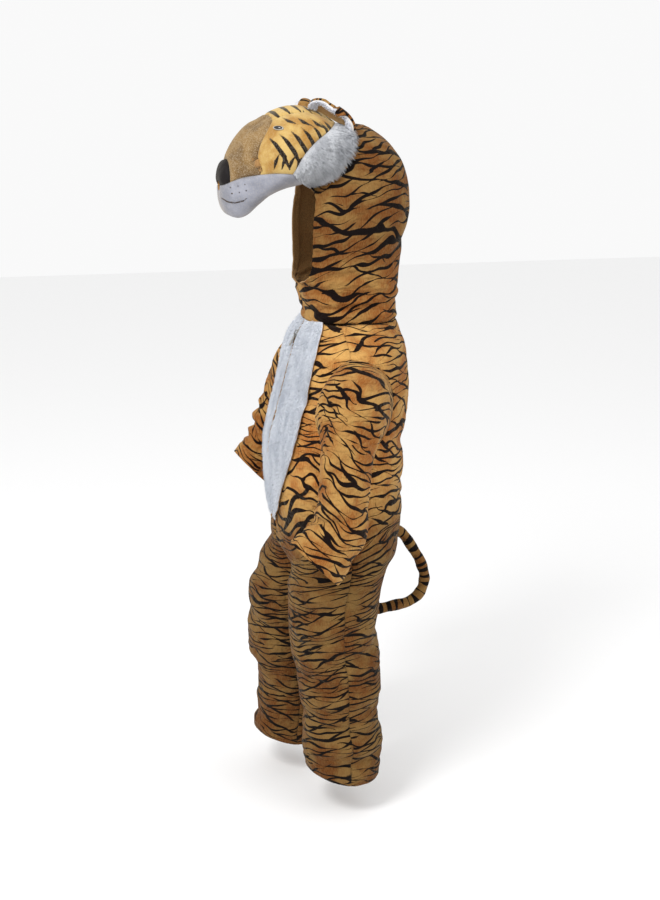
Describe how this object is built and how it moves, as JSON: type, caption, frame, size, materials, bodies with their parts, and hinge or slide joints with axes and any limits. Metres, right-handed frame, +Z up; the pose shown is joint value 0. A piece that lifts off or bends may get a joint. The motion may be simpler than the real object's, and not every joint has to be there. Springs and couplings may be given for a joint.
{
  "type": "tiger costume",
  "caption": "One-piece child's tiger costume of brushed plush, with a hood that carries a padded tiger head, a white fur belly, a front zip and a curled tail, in its worn shape.",
  "frame": {"origin": "midway between the wearer's shoulders, inside the costume, 0.76 m above the soles of the wearer's feet", "axes": "+Z up, -Y the way the costume faces, +X the wearer's left"},
  "size_m": [0.4279, 0.3408, 1.0596],
  "materials": {
    "back_left": "brushed pile with printed stripes",
    "back_right": "brushed pile with printed stripes",
    "belly_left": "short soft fur",
    "belly_right": "short soft fur",
    "cheek_left": "brushed pile with printed stripes",
    "cheek_right": "brushed pile with printed stripes",
    "ear_left_back": "brushed pile with printed stripes",
    "ear_left_front": "long soft fur",
    "ear_right_back": "brushed pile with printed stripes",
    "ear_right_front": "long soft fur",
    "eye_left": "short pile",
    "eye_right": "short pile",
    "forehead": "brushed pile with printed stripes",
    "front_left": "brushed pile with printed stripes",
    "front_right": "brushed pile with printed stripes",
    "hood_left": "brushed pile with printed stripes",
    "hood_right": "brushed pile with printed stripes",
    "muzzle": "long soft fur",
    "nose": "short pile",
    "sleeve_left": "brushed pile with printed stripes",
    "sleeve_right": "brushed pile with printed stripes",
    "snout_bridge": "short suede-like pile",
    "tail": "brushed pile with printed stripes",
    "tuft_left": "long soft fur",
    "tuft_right": "long soft fur",
    "zip_pull": "satin",
    "zip_slider": "satin",
    "zip_tape": "woven"
  },
  "bodies": {
    "root": {"back_left": "back_left", "back_right": "back_right", "belly_left": "belly_left", "belly_right": "belly_right", "cheek_left": "cheek_left", "cheek_right": "cheek_right", "ear_left_back": "ear_left_back", "ear_left_front": "ear_left_front", "ear_right_back": "ear_right_back", "ear_right_front": "ear_right_front", "eye_left": "eye_left", "eye_right": "eye_right", "forehead": "forehead", "front_left": "front_left", "front_right": "front_right", "hood_left": "hood_left", "hood_right": "hood_right", "muzzle": "muzzle", "nose": "nose", "sleeve_left": "sleeve_left", "sleeve_right": "sleeve_right", "snout_bridge": "snout_bridge", "tail": "tail", "tuft_left": "tuft_left", "tuft_right": "tuft_right", "zip_slider": "zip_slider", "zip_tape": "zip_tape"},
    "zip_pull": {"zip_pull": "zip_pull"}
  },
  "joints": [
    {"name": "zip_pull_hinge", "type": "hinge", "parent": "root", "child": "zip_pull", "pos_m": [0, -0.07287, 0.00719], "axis": [-1, 0, 0], "range_deg": [0, 120]}
  ]
}
